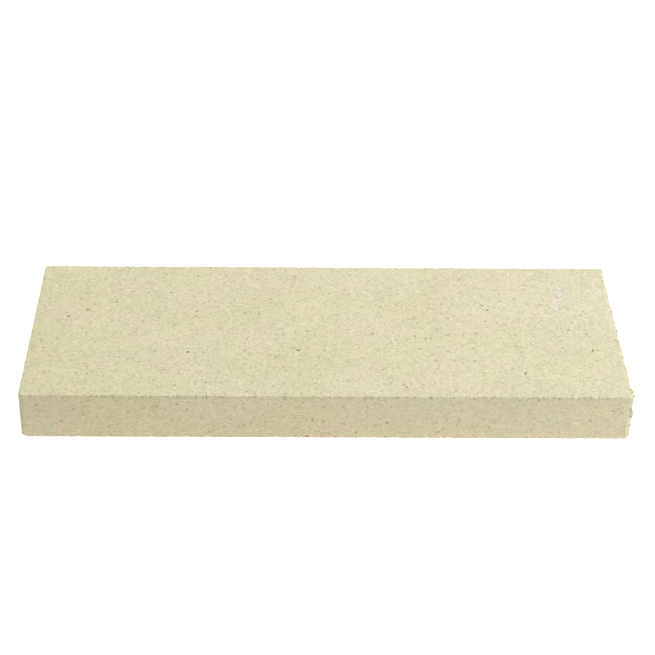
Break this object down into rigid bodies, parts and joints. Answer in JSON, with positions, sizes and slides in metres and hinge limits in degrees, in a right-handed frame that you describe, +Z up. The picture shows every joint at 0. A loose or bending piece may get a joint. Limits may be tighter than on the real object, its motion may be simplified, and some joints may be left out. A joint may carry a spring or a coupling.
{
  "type": "stove firebrick",
  "caption": "Flat rectangular slab of cream insulating refractory board that lines a stove's firebox, moulded round three sides and sawn to length at one end.",
  "frame": {"origin": "middle of the back face, the broad face that the brick lies on", "axes": "+X along the length, from the moulded end to the sawn end; -Y is the front edge in the picture; +Z up through the thickness to the fire face"},
  "size_m": [0.3, 0.12, 0.025],
  "materials": {
    "refractory_board": "matte"
  },
  "bodies": {
    "root": {"firebrick": "refractory_board"}
  },
  "joints": []
}
